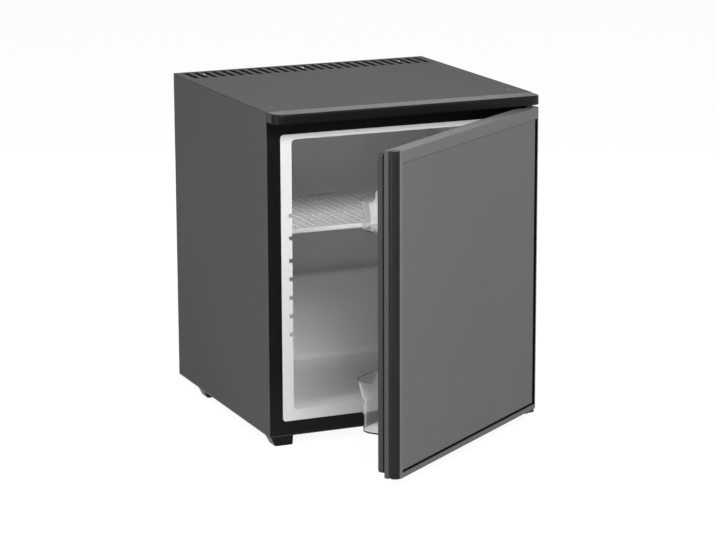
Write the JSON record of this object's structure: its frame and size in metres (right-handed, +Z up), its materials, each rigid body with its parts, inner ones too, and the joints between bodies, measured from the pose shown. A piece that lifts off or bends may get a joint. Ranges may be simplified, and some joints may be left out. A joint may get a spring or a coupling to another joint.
{
  "type": "minibar fridge",
  "caption": "Free-standing hotel minibar fridge with a framed hinged door, white grooved liner, shelf, door balconies, rear grille and compressor cooling.",
  "frame": {"origin": "on the floor, in the middle of the four feet", "axes": "+Z up, -Y towards the person in front of the fridge, +X to the right as seen from the front"},
  "size_m": [0.4904, 0.7604, 0.576],
  "materials": {
    "grey_sheet": "satin",
    "black_plastic": "satin",
    "dark_rail": "satin",
    "grey_rail": "satin",
    "grey_panel": "satin",
    "white_liner": "satin",
    "foam": "matte",
    "zinc_sheet": "satin",
    "black_steel": "satin",
    "steel": "satin",
    "copper_pipe": "satin",
    "aluminium": "satin",
    "rubber": "matte",
    "gasket": "matte",
    "clear_plastic": "clear",
    "lamp_plastic": "frosted",
    "bearing_plastic": "satin"
  },
  "bodies": {
    "cabinet": {"left_side_panel": "grey_sheet", "right_side_panel": "grey_sheet", "top_panel": "grey_sheet", "grille_rail": "black_steel", "top_screws": "steel", "top_screw_caps": "black_plastic", "top_trim": "black_plastic", "front_frame": "black_plastic", "inner_liner": "white_liner", "insulation_foam": "foam", "back_panel": "zinc_sheet", "base_pan": "black_steel", "front_left_foot": "black_plastic", "front_right_foot": "black_plastic", "rear_left_foot": "black_plastic", "rear_right_foot": "black_plastic", "evaporator_plate": "aluminium", "compressor": "black_steel", "compressor_mounts": "rubber", "compressor_bolts": "steel", "terminal_cover": "black_plastic", "evaporation_tray": "black_plastic", "drain_tube": "white_liner", "condenser_coil": "black_steel", "condenser_wires": "black_steel", "condenser_spacers": "black_plastic", "discharge_pipe": "copper_pipe", "liquid_pipe": "copper_pipe", "filter_drier": "copper_pipe", "capillary_tube": "copper_pipe", "suction_pipe": "copper_pipe", "inlet_bracket": "zinc_sheet", "mains_inlet": "black_plastic", "control_box": "white_liner", "lamp_cover": "lamp_plastic", "upper_hinge": "steel", "upper_hinge_pin": "steel", "lower_hinge": "black_steel", "lower_hinge_pin": "steel", "hinge_screws": "steel"},
    "door": {"door_handle_stile": "dark_rail", "door_hinge_stile": "grey_rail", "door_top_rail": "grey_rail", "door_bottom_rail": "grey_rail", "door_panel": "grey_panel", "door_foam": "foam", "door_inner_panel": "white_liner", "door_gasket": "gasket", "upper_hinge_bush": "bearing_plastic", "lower_hinge_bush": "bearing_plastic"},
    "shelf": {"shelf": "white_liner"},
    "thermostat_knob": {"thermostat_knob": "white_liner"},
    "upper_balcony": {"upper_balcony": "clear_plastic"},
    "lower_balcony": {"lower_balcony": "clear_plastic"}
  },
  "joints": [
    {"name": "door_hinge", "type": "hinge", "parent": "cabinet", "child": "door", "pos_m": [0.225, -0.209, 0.293], "axis": [0, 0, 1], "range_deg": [-36, 84]},
    {"name": "shelf_slide", "type": "slide", "parent": "cabinet", "child": "shelf", "axis": [0, -1, 0], "range_m": [0, 0.03]},
    {"name": "thermostat_turn", "type": "hinge", "parent": "cabinet", "child": "thermostat_knob", "pos_m": [0.038, 0.0682, 0.514], "axis": [0, -1, 0], "range_deg": [-135, 135]},
    {"name": "upper_balcony_lift", "type": "slide", "parent": "door", "child": "upper_balcony", "axis": [0, 0, 1], "range_m": [0, 0.012]},
    {"name": "lower_balcony_lift", "type": "slide", "parent": "door", "child": "lower_balcony", "axis": [0, 0, 1], "range_m": [0, 0.012]}
  ]
}
